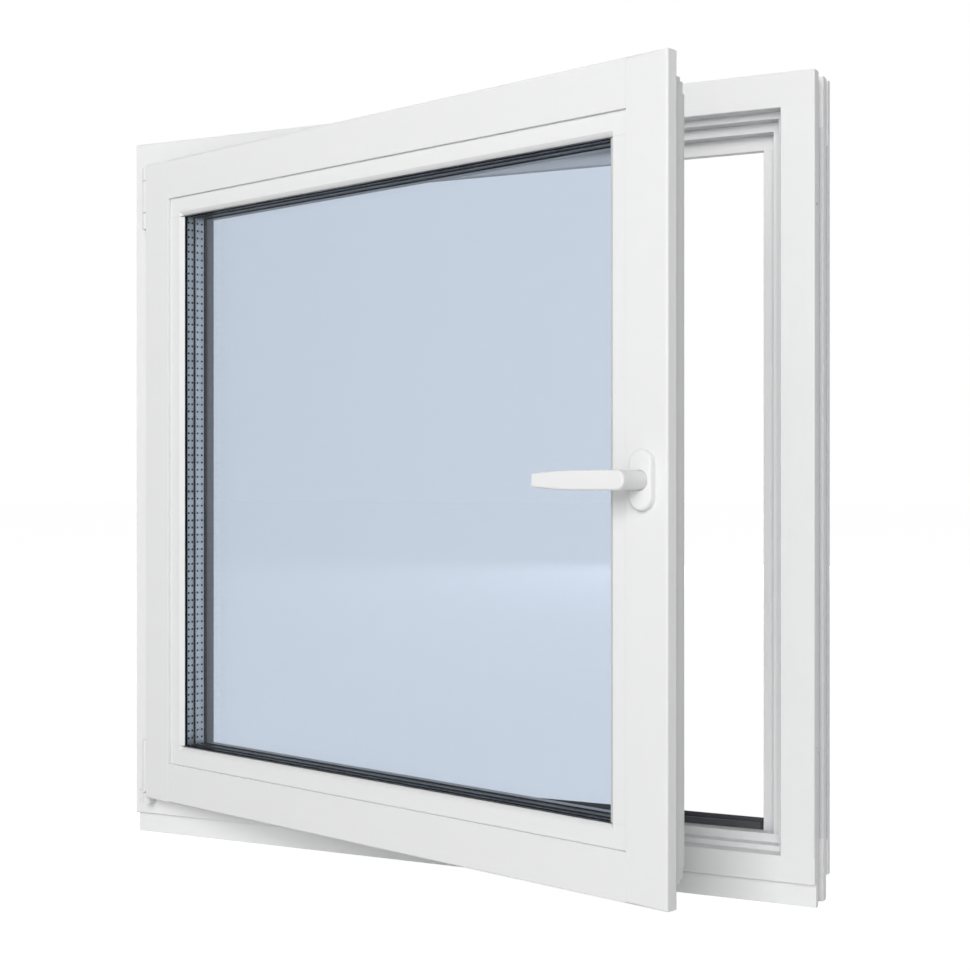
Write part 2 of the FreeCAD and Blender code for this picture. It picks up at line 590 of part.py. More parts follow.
def stay_arm():
    """Barrel, crank through the gap behind the lip, flat bar and guide pin of the tilt stay."""
    z_low = ARM_BARREL_LOW
    z_high = ARM_BARREL_HIGH
    top = BODY_TOP + ARM_LIFT + ARM_THICKNESS
    middle_gap = ROOM_Y - CLOSED_GAP / 2
    barrel = upright_bore(BARREL_RADIUS, z_low, z_high).fuse(
        box(HINGE_X - ARM_WEB, HINGE_X + ARM_WEB, HINGE_Y, middle_gap + ARM_THICKNESS / 2, z_low, z_high))
    crank_end = -HALF_WIDTH + FACE_WIDTH + LIP_WIDTH - SIDE_OVERLAP - ARM_THICKNESS
    bar_start = -HALF_WIDTH + FACE_WIDTH + ARM_LIFT
    crank = box(HINGE_X, crank_end, middle_gap - ARM_THICKNESS / 2, middle_gap + ARM_THICKNESS / 2,
                z_high - ARM_CRANK_HEIGHT, z_high)
    riser = box(bar_start, crank_end, middle_gap - ARM_THICKNESS / 2, middle_gap + ARM_THICKNESS / 2,
                z_high, top)
    neck = box(bar_start, crank_end, middle_gap, HARDWARE_Y, top - ARM_THICKNESS, top)
    pin_x = HINGE_X + ARM_REACH
    bar = box(bar_start, pin_x, HARDWARE_Y - ARM_WIDTH / 2, HARDWARE_Y + ARM_WIDTH / 2,
              top - ARM_THICKNESS, top)
    end = cylinder(ARM_WIDTH / 2, Vector(pin_x, HARDWARE_Y, top - ARM_THICKNESS), Vector(0, 0, 1),
                   ARM_THICKNESS)
    pin = cylinder(PIN_RADIUS, Vector(pin_x, HARDWARE_Y, BODY_TOP - ARM_PIN_LENGTH + ARM_PIN_END_GAP),
                   Vector(0, 0, 1), ARM_PIN_LENGTH + ARM_LIFT)
    bore = upright_bore(PIN_RADIUS + PIN_CLEARANCE, z_low, z_high)
    return fused([barrel, crank, riser, neck, bar, end, pin]).cut(bore)


def handle_rosette():
    """Oval plate under the handle, with the bore for the neck."""
    straight = ROSETTE_HEIGHT - ROSETTE_WIDTH
    radius = ROSETTE_WIDTH / 2
    y = SASH_Y - ROSETTE_THICKNESS
    plate = fused([
        box(HANDLE_X - radius, HANDLE_X + radius, y, SASH_Y, HANDLE_Z - straight / 2, HANDLE_Z + straight / 2),
        cylinder(radius, Vector(HANDLE_X, y, HANDLE_Z - straight / 2), Vector(0, 1, 0), ROSETTE_THICKNESS),
        cylinder(radius, Vector(HANDLE_X, y, HANDLE_Z + straight / 2), Vector(0, 1, 0), ROSETTE_THICKNESS),
    ])
    front = edges_at_depth(plate, y, HALF_WIDTH, FRAME_LOW, FRAME_HIGH)
    plate = plate.makeFillet(ROSETTE_ROUND, front)
    bore = cylinder(NECK_RADIUS + NECK_CLEARANCE, Vector(HANDLE_X, y, HANDLE_Z), Vector(0, 1, 0),
                    ROSETTE_THICKNESS)
    return plate.cut(bore)


def handle_lever():
    """Lever of the handle in the turn position: level, pointing to the hinges."""
    y_front = SASH_Y - LEVER_PROJECTION
    y_back = y_front + LEVER_THICKNESS
    root = LEVER_ROOT / 2
    tip = LEVER_TIP / 2
    tip_x = HANDLE_X - LEVER_REACH + tip
    lean = math.asin((root - tip) / (HANDLE_X - tip_x))
    up_root = Vector(HANDLE_X - root * math.sin(lean), y_front, HANDLE_Z + root * math.cos(lean))
    down_root = Vector(up_root.x, y_front, 2 * HANDLE_Z - up_root.z)
    up_tip = Vector(tip_x - tip * math.sin(lean), y_front, HANDLE_Z + tip * math.cos(lean))
    down_tip = Vector(up_tip.x, y_front, 2 * HANDLE_Z - up_tip.z)
    outline = Part.Wire([
        Part.LineSegment(up_root, up_tip).toShape(),
        Part.Arc(up_tip, Vector(tip_x - tip, y_front, HANDLE_Z), down_tip).toShape(),
        Part.LineSegment(down_tip, down_root).toShape(),
        Part.Arc(down_root, Vector(HANDLE_X + root, y_front, HANDLE_Z), up_root).toShape(),
    ])
    lever = Part.Face(outline).extrude(Vector(0, LEVER_THICKNESS, 0))
    lever = lever.makeFillet(LEVER_ROUND, edges_at_depth(lever, y_front, HALF_WIDTH, 0, FRAME_HIGH))
    neck = cylinder(NECK_RADIUS, Vector(HANDLE_X, y_back - LEVER_ROUND, HANDLE_Z), Vector(0, 1, 0),
                    SASH_Y - NECK_CLEARANCE - y_back + LEVER_ROUND)
    return lever.fuse(neck).removeSplitter()


def handle_spindle():
    """Square bar from the neck into the gear of the sash."""
    half = SPINDLE / 2
    return box(HANDLE_X - half, HANDLE_X + half, SASH_Y - NECK_CLEARANCE, SASH_Y + SPINDLE_LENGTH,
               HANDLE_Z - half, HANDLE_Z + half)


def frame_parts():
    """Everything fixed to the wall."""
    parts = frame_members()
    parts["sill_extension"] = sill_extension()
    bar, caps = weather_bar()
    parts["weather_bar"] = bar
    parts["weather_bar_end_caps"] = caps
    knuckles, pin = top_bearing()
    parts["top_hinge_knuckles"] = knuckles
    parts["top_hinge_pin"] = pin
    parts["corner_bearing"] = corner_bearing()
    return parts


def sash_parts():
    """Everything that opens, as it lies with the sash closed."""
    parts = sash_members()
    parts.update(glazing_beads())
    parts["inner_glass_gasket"] = glass_ring(BEAD_BACK, GASKET, REBATE_WIDTH, SIGHT_WIDTH)
    parts["inner_pane"] = pane(INNER_PANE_AT)
    parts["inner_spacer"] = glass_ring(INNER_SPACER_AT, INNER_CAVITY, SPACER_OUTER, SPACER_INNER)
    parts["inner_edge_sealant"] = glass_ring(INNER_SPACER_AT, INNER_CAVITY, GLASS_EDGE, SPACER_OUTER)
    parts["middle_pane"] = pane(MIDDLE_PANE_AT)
    parts["outer_spacer"] = glass_ring(OUTER_SPACER_AT, OUTER_CAVITY, SPACER_OUTER, SPACER_INNER)
    parts["outer_edge_sealant"] = glass_ring(OUTER_SPACER_AT, OUTER_CAVITY, GLASS_EDGE, SPACER_OUTER)
    parts["outer_pane"] = pane(OUTER_PANE_AT)
    parts["outer_glass_gasket"] = glass_ring(OUTER_GASKET_AT, GASKET, REBATE_WIDTH, SIGHT_WIDTH)
    parts["glazing_blocks"] = glazing_blocks()
    parts["sash_drip_strip"] = sash_drip()
    lock, top, bottom = faceplate_blocks()
    parts["lock_faceplate"] = lock
    parts["top_faceplate"] = top.cut(stay_slot())
    parts["bottom_faceplate"] = bottom
    parts["sash_seal"] = sash_seal()
    parts["corner_hinge_cover"] = corner_cover()
    parts["tilt_bush"] = tilt_bush()
    parts["handle_rosette"] = handle_rosette()
    return parts


def swung_parts():
    """What turns with the sash on the hinge line, but is not part of it."""
    return {
        "pivot_post": pivot_post(),
        "stay_arm": stay_arm(),
        "handle_lever": handle_lever(),
        "handle_spindle": handle_spindle(),
    }


def swung_open(shape):
    """A piece of the closed sash, turned about the hinge line to the open position."""
    turned = shape.copy()
    turned.rotate(Vector(HINGE_X, HINGE_Y, 0), Vector(0, 0, 1), -OPEN_ANGLE)
    return turned


def main():
    """Write every piece to its own file."""
    os.makedirs("parts", exist_ok=True)
    parts = frame_parts()
    for name, shape in {**sash_parts(), **swung_parts()}.items():
        parts[name] = swung_open(shape)
    for name, shape in parts.items():
        shape.exportStep("parts/" + name + ".step")


main()
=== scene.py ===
"""Dresses a tilt and turn window: satin white timber, triple glazing, hinges and a lever handle."""

import logging
import math
from dataclasses import dataclass
from enum import Enum
from typing import Callable, ClassVar, Dict, Optional, Sequence, Tuple, Union

import bpy
from mathutils import Matrix, Vector


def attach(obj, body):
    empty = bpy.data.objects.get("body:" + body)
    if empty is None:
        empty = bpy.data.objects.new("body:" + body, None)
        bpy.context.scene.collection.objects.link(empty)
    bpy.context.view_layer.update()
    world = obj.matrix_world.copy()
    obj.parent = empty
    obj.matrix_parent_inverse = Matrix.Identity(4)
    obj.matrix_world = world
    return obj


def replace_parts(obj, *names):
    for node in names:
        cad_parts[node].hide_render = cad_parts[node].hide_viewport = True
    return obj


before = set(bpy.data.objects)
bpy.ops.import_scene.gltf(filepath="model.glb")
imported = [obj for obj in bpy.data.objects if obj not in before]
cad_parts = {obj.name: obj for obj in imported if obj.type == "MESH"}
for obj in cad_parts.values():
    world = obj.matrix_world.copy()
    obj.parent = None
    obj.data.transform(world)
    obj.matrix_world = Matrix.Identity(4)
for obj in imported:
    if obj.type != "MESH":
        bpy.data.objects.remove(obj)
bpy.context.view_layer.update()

LOG = logging.getLogger("window")
Colour = Tuple[float, float, float]
Point = Tuple[float, float, float]
Feed = Union[float, Tuple[float, ...], bpy.types.NodeSocket]

OPEN_ANGLE = math.radians(16.8)
HINGE_LINE = (-0.4695, -0.026)
SASH_FACE = -0.035
NEAR = 1e-5
FACING_UP = 0.9
BEVEL_ANGLE = math.radians(40.0)
SMOOTH_ANGLE = math.radians(32.0)


class Run(Enum):
    """Which way the timber grain of a member runs."""

    LEVEL = "level"
    UPRIGHT = "upright"


class Body(Enum):
    """The body that a piece moves with."""

    FRAME = "frame"
    SASH = "sash"
    HANDLE = "handle"
    STAY = "stay"


def swung(x: float, y: float, z: float) -> Vector:
    """Give the place of a point of the closed sash once the sash is swung open."""
    dx, dy = x - HINGE_LINE[0], y - HINGE_LINE[1]
    cos, sin = math.cos(OPEN_ANGLE), math.sin(OPEN_ANGLE)
    return Vector((HINGE_LINE[0] + dx * cos + dy * sin, HINGE_LINE[1] - dx * sin + dy * cos, z))


def swung_matrix() -> Matrix:
    """Give the transform that swings the closed sash open about the hinge line."""
    line = Vector((*HINGE_LINE, 0.0))
    return Matrix.Translation(line) @ Matrix.Rotation(-OPEN_ANGLE, 4, "Z") @ Matrix.Translation(-line)


def rgba(colour: Colour) -> Tuple[float, float, float, float]:
    """Give a colour with full alpha."""
    return (*colour, 1.0)


def grey(value: float) -> Tuple[float, float, float, float]:
    """Give a grey with full alpha."""
    return (value, value, value, 1.0)


class Nodes:
    """Short calls for building a node tree."""

    def __init__(self, tree: bpy.types.NodeTree) -> None:
        """Take the tree that the nodes go into."""
        self.tree = tree

    def feed(self, socket: bpy.types.NodeSocket, value: Feed) -> None:
        """Link another node's output to a socket, or set the socket's value."""
        if isinstance(value, bpy.types.NodeSocket):
            self.tree.links.new(value, socket)
        else:
            socket.default_value = value

    def add(self, kind: str, inputs: Optional[Dict] = None, **settings) -> bpy.types.Node:
        """Add a node.

        Args:
            kind: the node's type name.
            inputs: values or output sockets, by input name or number.
            settings: properties of the node.

        Returns:
            The new node.
        """
        node = self.tree.nodes.new(kind)
        for name, value in settings.items():
            setattr(node, name, value)
        for name, value in (inputs or {}).items():
            self.feed(node.inputs[name], value)
        return node

    def math(self, operation: str, first: Feed, second: Feed = 0.0) -> bpy.types.NodeSocket:
        """Add a Math node and give its output."""
        return self.add("ShaderNodeMath", {0: first, 1: second}, operation=operation).outputs[0]

    def ramp(self, value: Feed, low: float, high: float, start: float = 0.0,
             end: float = 1.0) -> bpy.types.NodeSocket:
        """Map a value smoothly from low and high to start and end."""
        node = self.add("ShaderNodeMapRange", {"Value": value, "From Min": low, "From Max": high,
                                               "To Min": start, "To Max": end},
                        interpolation_type="SMOOTHSTEP")
        return node.outputs[0]

    def blend(self, share: Feed, first: Feed, second: Feed) -> bpy.types.NodeSocket:
        """Mix two colours by a share."""
        node = self.add("ShaderNodeMix", data_type="RGBA")
        for name, value in (("Factor", share), ("A", first), ("B", second)):
            self.feed(next(s for s in node.inputs if s.name == name and s.enabled), value)
        return next(s for s in node.outputs if s.enabled)

    def parts(self, vector: Feed) -> bpy.types.bpy_prop_collection:
        """Split a vector into its three axes."""
        return self.add("ShaderNodeSeparateXYZ", {0: vector}).outputs

    def coordinates(self, kind: str) -> bpy.types.NodeSocket:
        """Give one of the outputs of Texture Coordinate."""
        return self.add("ShaderNodeTexCoord").outputs[kind]

    def stretch(self, vector: Feed, scale: Point) -> bpy.types.NodeSocket:
        """Scale a pattern along its three axes."""
        return self.add("ShaderNodeMapping", {"Vector": vector, "Scale": scale}).outputs[0]

    def noise(self, vector: Feed, scale: Feed, detail: float, roughness: float = 0.5,
              distortion: float = 0.0) -> bpy.types.NodeSocket:
        """Add a noise pattern and give its value."""
        node = self.add("ShaderNodeTexNoise", {"Vector": vector, "Scale": scale, "Detail": detail,
                                               "Roughness": roughness, "Distortion": distortion})
        return node.outputs["Fac"]

    def bump(self, height: Feed, depth: float) -> bpy.types.NodeSocket:
        """Turn a height into a normal, with its relief in metres."""
        return self.add("ShaderNodeBump", {"Height": height, "Strength": 1.0, "Distance": depth}).outputs[0]


class EffectLibrary:
    """Node groups that several finishes share."""

    def __init__(self) -> None:
        """Build each group once."""
        self.paint_film = self._paint_film()
        self.fine_grit = self._fine_grit()
        self.drawn_lines = self._drawn_lines()

    @staticmethod
    def _open(name: str, numbers: Sequence[str]) -> Tuple[Nodes, bpy.types.bpy_prop_collection]:
        """Start a group that takes coordinates, two colours and some numbers.

        Args:
            name: the group's name.
            numbers: the names of its number inputs.

        Returns:
            The group's nodes, and the outputs of its input node.
        """
        group = bpy.data.node_groups.new(name, "ShaderNodeTree")
        vector, colour, number = "NodeSocketVector", "NodeSocketColor", "NodeSocketFloat"
        inputs = [("Vector", vector), ("Colour", colour), ("Shade", colour)]
        for label, kind in inputs + [(label, number) for label in numbers]:
            group.interface.new_socket(label, in_out="INPUT", socket_type=kind)
        for label, kind in (("Colour", colour), ("Roughness", number), ("Height", number)):
            group.interface.new_socket(label, in_out="OUTPUT", socket_type=kind)
        nodes = Nodes(group)
        return nodes, nodes.add("NodeGroupInput").outputs

    @staticmethod
    def _close(nodes: Nodes, colour: Feed, rough: Feed, height: Feed) -> bpy.types.NodeTree:
        """Send a group's three results out, and give the group."""
        nodes.add("NodeGroupOutput", {"Colour": colour, "Roughness": rough, "Height": height})
        return nodes.tree

    @staticmethod
    def _two_tones(nodes: Nodes, start: bpy.types.bpy_prop_collection, first: Feed, second: Feed,
                   weight: float) -> Tuple[bpy.types.NodeSocket, bpy.types.NodeSocket]:
        """Mix two patterns into a colour and a roughness.

        Args:
            nodes: the group's nodes.
            start: the outputs of its input node.
            first: the first pattern.
            second: the second pattern.
            weight: the first pattern's share.

        Returns:
            The colour and the roughness.
        """
        share = nodes.math("ADD", nodes.math("MULTIPLY", first, weight),
                           nodes.math("MULTIPLY", second, 1.0 - weight))
        share = nodes.ramp(share, 0.35, 0.65)
        spread = nodes.math("SUBTRACT", start["High"], start["Low"])
        rough = nodes.math("ADD", start["Low"], nodes.math("MULTIPLY", share, spread))
        return nodes.blend(share, start["Colour"], start["Shade"]), rough

    def _paint_film(self) -> bpy.types.NodeTree:
        """Build the film of satin paint over timber: faint grain, brush drag and a soft mottle."""
        nodes, start = self._open("paint_film", ["Grain"])
        place = start["Vector"]
        grain = nodes.noise(nodes.stretch(place, (260.0, 260.0, 7.0)), 1.0, 4.0, 0.6, 0.3)
        brush = nodes.noise(nodes.stretch(place, (1400.0, 1400.0, 30.0)), 1.0, 2.0)
        mottle = nodes.noise(place, 9.0, 3.0)
        peel = nodes.noise(place, 420.0, 1.0)
        lines = nodes.ramp(grain, 0.3, 0.75)
        share = nodes.math("MULTIPLY", nodes.math("MULTIPLY", lines, 0.16), start["Grain"])
        share = nodes.math("ADD", share, nodes.ramp(mottle, 0.3, 0.7, 0.0, 0.10))
        colour = nodes.blend(share, start["Colour"], start["Shade"])
        rough = nodes.math("ADD", nodes.ramp(mottle, 0.25, 0.75, 0.34, 0.42),
                           nodes.math("MULTIPLY", brush, 0.05))
        height = nodes.math("ADD", nodes.math("MULTIPLY", lines, start["Grain"]),
                            nodes.math("ADD", nodes.math("MULTIPLY", brush, 0.35),
                                       nodes.math("MULTIPLY", peel, 0.25)))
        return self._close(nodes, colour, rough, height)

    def _fine_grit(self) -> bpy.types.NodeTree:
        """Build the even speckle of powder coat, moulded plastic and rubber."""
        nodes, start = self._open("fine_grit", ["Scale", "Low", "High"])
        speck = nodes.noise(start["Vector"], start["Scale"], 3.0, 0.65)
        cloud = nodes.noise(start["Vector"], 14.0, 3.0)
        return self._close(nodes, *self._two_tones(nodes, start, speck, cloud, 0.5), speck)

    def _drawn_lines(self) -> bpy.types.NodeTree:
        """Build the drawn lines of rolled or brushed metal, along the third axis."""
        nodes, start = self._open("drawn_lines", ["Low", "High"])
        lines = nodes.noise(nodes.stretch(start["Vector"], (2200.0, 2200.0, 40.0)), 1.0, 3.0)
        stain = nodes.noise(start["Vector"], 60.0, 4.0)
        return self._close(nodes, *self._two_tones(nodes, start, lines, stain, 0.6), lines)


class Finish:
    """Shared steps of every finish."""

    @staticmethod
    def start(name: str) -> Tuple[bpy.types.Material, Nodes, bpy.types.Node]:
        """Make a material with one Principled shader.

        Args:
            name: the material's name.

        Returns:
            The material, its nodes and the shader.
        """
        material = bpy.data.materials.new(name)
        material.use_nodes = True
        material.node_tree.nodes.clear()
        nodes = Nodes(material.node_tree)
        shader = nodes.add("ShaderNodeBsdfPrincipled")
        nodes.add("ShaderNodeOutputMaterial", {"Surface": shader.outputs[0]})
        return material, nodes, shader

    @staticmethod
    def place(nodes: Nodes, swung_open: bool, run: Run = Run.UPRIGHT) -> bpy.types.NodeSocket:
        """Give Object coordinates along a member.

        Args:
            nodes: the material's nodes.
            swung_open: whether the member belongs to the open sash.
            run: which way the third axis of the pattern runs.

        Returns:
            The coordinates, with the member's length on the third axis.
        """
        turn = OPEN_ANGLE if swung_open else 0.0
        where = nodes.add("ShaderNodeMapping", {"Vector": nodes.coordinates("Object"),
                                                "Rotation": (0.0, 0.0, turn)}).outputs[0]
        if run is Run.LEVEL:
            parts = nodes.parts(where)
            where = nodes.add("ShaderNodeCombineXYZ", {0: parts[2], 1: parts[1], 2: parts[0]}).outputs[0]
        return where

    @staticmethod
    def effect(nodes: Nodes, group: bpy.types.NodeTree, inputs: Dict[str, Feed]) -> bpy.types.Node:
        """Place a shared node group."""
        return nodes.add("ShaderNodeGroup", inputs, node_tree=group)

    @staticmethod
    def connect(nodes: Nodes, shader: bpy.types.Node, effect: bpy.types.Node, depth: float) -> None:
        """Feed a shader from a group's colour, roughness and height.

        Args:
            nodes: the material's nodes.
            shader: the Principled shader.
            effect: the placed group.
            depth: how high the relief stands, in metres.
        """
        nodes.feed(shader.inputs["Base Color"], effect.outputs["Colour"])
        nodes.feed(shader.inputs["Roughness"], effect.outputs["Roughness"])
        nodes.feed(shader.inputs["Normal"], nodes.bump(effect.outputs["Height"], depth))


@dataclass(frozen=True)
class PaintedTimber(Finish):
    """Satin paint over a timber member, with painted shade where two faces meet in a hollow."""

    name: str
    run: Run
    swung_open: bool
    # The painted shade tone for hollows.
    hollow: Colour
    colour: Colour = (0.86, 0.86, 0.86)
    shade: Colour = (0.80, 0.80, 0.80)
    shade_reach: float = 0.02
    shut_in: float = 0.25
    open_air: float = 0.85
    grain: float = 0.5
    relief: float = 0.00003
    specular: float = 0.35

    def build(self, effects: EffectLibrary) -> bpy.types.Material:
        """Make the material."""
        material, nodes, shader = self.start(self.name)
        film = self.effect(nodes, effects.paint_film, {
            "Vector": self.place(nodes, self.swung_open, self.run), "Colour": rgba(self.colour),
            "Shade": rgba(self.shade), "Grain": self.grain})
        self.connect(nodes, shader, film, self.relief)
        # Painted shade: ambient occlusion darkens the paint towards the hollow tone in corners, grooves and
        # recesses.
        air = nodes.add("ShaderNodeAmbientOcclusion", {"Distance": self.shade_reach}, samples=8)
        share = nodes.ramp(air.outputs["AO"], self.shut_in, self.open_air, 1.0, 0.0)
        colour = nodes.blend(share, film.outputs["Colour"], rgba(self.hollow))
        nodes.feed(shader.inputs["Base Color"], colour)
        nodes.feed(shader.inputs["Specular IOR Level"], self.specular)
        return material


@dataclass(frozen=True)
class GrittyCoat(Finish):
    """Powder coat, moulded plastic, sealant or rubber, with an optional painted highlight that makes its
    upward faces paler.
    """

    name: str
    colour: Colour
    shade: Colour
    low: float
    high: float
    scale: float = 900.0
    relief: float = 0.00002
    specular: float = 0.4
    upward_highlight: float = 0.0
    highlight_from: float = 0.5
    highlight_colour: Colour = (0.50, 0.51, 0.53)

    def build(self, effects: EffectLibrary) -> bpy.types.Material:
        """Make the material."""
        material, nodes, shader = self.start(self.name)
        grit = self.effect(nodes, effects.fine_grit, {
            "Vector": self.place(nodes, False), "Colour": rgba(self.colour), "Shade": rgba(self.shade),
            "Scale": self.scale, "Low": self.low, "High": self.high})
        self.connect(nodes, shader, grit, self.relief)
        # Painted highlight: upward faces are made paler, for the light that falls on them from above.
        if self.upward_highlight > 0.0:
            rise = nodes.parts(nodes.coordinates("Normal"))[2]
            upward = nodes.ramp(rise, self.highlight_from, FACING_UP, 0.0, self.upward_highlight)
            colour = nodes.blend(upward, grit.outputs["Colour"], rgba(self.highlight_colour))
            nodes.feed(shader.inputs["Base Color"], colour)
        nodes.feed(shader.inputs["Specular IOR Level"], self.specular)
        return material


@dataclass(frozen=True)
class DrawnMetal(Finish):
    """Zinc plated steel with its drawing lines."""

    name: str
    swung_open: bool
    run: Run = Run.UPRIGHT
    colour: Colour = (0.62, 0.62, 0.63)
    shade: Colour = (0.52, 0.53, 0.55)
    low: float = 0.26
    high: float = 0.4
    relief: float = 0.00001

    def build(self, effects: EffectLibrary) -> bpy.types.Material:
        """Make the material."""
        material, nodes, shader = self.start(self.name)
        lines = self.effect(nodes, effects.drawn_lines, {
            "Vector": self.place(nodes, self.swung_open, self.run), "Colour": rgba(self.colour),
            "Shade": rgba(self.shade), "Low": self.low, "High": self.high})
        self.connect(nodes, shader, lines, self.relief)
        nodes.feed(shader.inputs["Metallic"], 1.0)
        return material


@dataclass(frozen=True)
class SpacerBar(Finish):
    """The hollow bar between two panes, with two rows of drying holes, and painted shade on its level legs.
    """

    name: str
    middle_depth: float
    half_width: float
    row_spacing: float
    butyl: float = 0.0009
    pitch: float = 0.0102
    hole: float = 0.0015
    hole_depth: float = 0.0005
    softness: float = 0.2
    low: float = 0.35
    high: float = 0.5
    colour: Colour = (0.93, 0.98, 1.0)
    shade: Colour = (0.86, 0.91, 0.95)
    dark: Colour = (0.015, 0.02, 0.03)
    level_painted_shade: Colour = (0.10, 0.12, 0.15)
    metallic: float = 0.95

    def build(self, effects: EffectLibrary) -> bpy.types.Material:
        """Make the material."""
        material, nodes, shader = self.start(self.name)
        where = self.place(nodes, True)
        lines = self.effect(nodes, effects.drawn_lines, {
            "Vector": where, "Colour": rgba(self.colour), "Shade": rgba(self.shade),
            "Low": self.low, "High": self.high})
        parts = nodes.parts(where)
        rise = nodes.math("ABSOLUTE", nodes.parts(nodes.coordinates("Normal"))[2])
        level_leg = nodes.math("GREATER_THAN", rise, 0.5)
        along = nodes.add("ShaderNodeMix", {0: level_leg, 2: parts[2], 3: parts[0]}, data_type="FLOAT")
        across = nodes.math("SUBTRACT", parts[1], self.middle_depth)
        near = self._near_hole(nodes, along.outputs[0], across)
        sealed = nodes.ramp(nodes.math("ABSOLUTE", across), self.half_width - self.butyl,
                            self.half_width - self.butyl * (1.0 - self.softness))
        # Painted shade: the level legs are coloured dark for the shade and dark reflections they show.
        bar = nodes.blend(level_leg, lines.outputs["Colour"], rgba(self.level_painted_shade))
        colour = nodes.blend(nodes.math("MAXIMUM", near, sealed), bar, rgba(self.dark))
        nodes.feed(shader.inputs["Base Color"], colour)
        nodes.feed(shader.inputs["Roughness"], lines.outputs["Roughness"])
        nodes.feed(shader.inputs["Normal"], nodes.bump(nodes.math("SUBTRACT", 1.0, near), self.hole_depth))
        nodes.feed(shader.inputs["Metallic"], self.metallic)
        return material

    def _near_hole(self, nodes: Nodes, along: Feed, across: Feed) -> bpy.types.NodeSocket:
        """Give 1 inside a drying hole and 0 outside.

        Args:
            nodes: the material's nodes.
            along: the place along the bar.
            across: the place across it, from its middle.

        Returns:
            The mask.
        """
        step = nodes.math("DIVIDE", along, self.pitch)
        from_hole = nodes.math("MULTIPLY", nodes.math("SUBTRACT", nodes.math("FRACT", step), 0.5), self.pitch)
        from_row = nodes.math("SUBTRACT", nodes.math("ABSOLUTE", across), self.row_spacing / 2)
        square = nodes.math("ADD", nodes.math("MULTIPLY", from_hole, from_hole),
                            nodes.math("MULTIPLY", from_row, from_row))
        return nodes.ramp(nodes.math("SQRT", square), self.hole * (1.0 - self.softness),
                          self.hole * (1.0 + self.softness), 1.0, 0.0)


@dataclass(frozen=True)
class FloatGlass(Finish):
    """Clear float glass with a faint blue cast, and painted shade beyond the sight line, where the edge seal
    takes its light.
    """

    name: str
    centre: Tuple[float, float]
    half: Tuple[float, float]
    colour: Colour = (0.881, 0.918, 0.967)
    painted_edge_shade: Colour = (0.01, 0.013, 0.016)
    refraction: float = 1.5
    wave_scale: float = 3.0
    relief: float = 0.00002

    def build(self) -> bpy.types.Material:
        """Make the material."""
        material, nodes, shader = self.start(self.name)
        where = self.place(nodes, True)
        parts = nodes.parts(where)
        beyond = []
        for axis, middle, reach in zip((0, 2), self.centre, self.half):
            away = nodes.math("ABSOLUTE", nodes.math("SUBTRACT", parts[axis], middle))
            beyond.append(nodes.math("GREATER_THAN", away, reach))
        # Painted shade: the glass is coloured near black beyond the sight line.
        colour = nodes.blend(nodes.math("MAXIMUM", *beyond), rgba(self.colour), rgba(self.painted_edge_shade))
        nodes.feed(shader.inputs["Base Color"], colour)
        nodes.feed(shader.inputs["Normal"], nodes.bump(nodes.noise(where, self.wave_scale, 1.0), self.relief))
        nodes.feed(shader.inputs["Roughness"], 0.0)
        nodes.feed(shader.inputs["IOR"], self.refraction)
        nodes.feed(shader.inputs["Transmission Weight"], 1.0)
        return material


def paint(node: str, material: bpy.types.Material) -> None:
    """Give a CAD node one material."""
    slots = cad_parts[node].data.materials
    slots.clear()
    slots.append(material)


def soften(node: str, width: float = 0.0008) -> None:
    """Merge a CAD node's facets and take its sharp edges off.

    Args:
        node: the CAD node.
        width: how wide the soft edge is, in metres.
    """
    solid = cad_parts[node]
    weld = solid.modifiers.new("join_facets", "WELD")
    weld.merge_threshold = NEAR
    flat = solid.modifiers.new("plain_faces", "DECIMATE")
    flat.decimate_type = "DISSOLVE"
    flat.angle_limit = math.radians(0.5)
    bevel = solid.modifiers.new("soft_edges", "BEVEL")
    bevel.width = width
    bevel.segments = 2
    bevel.limit_method = "ANGLE"
    bevel.angle_limit = math.radians(35.0)
    bevel.harden_normals = True


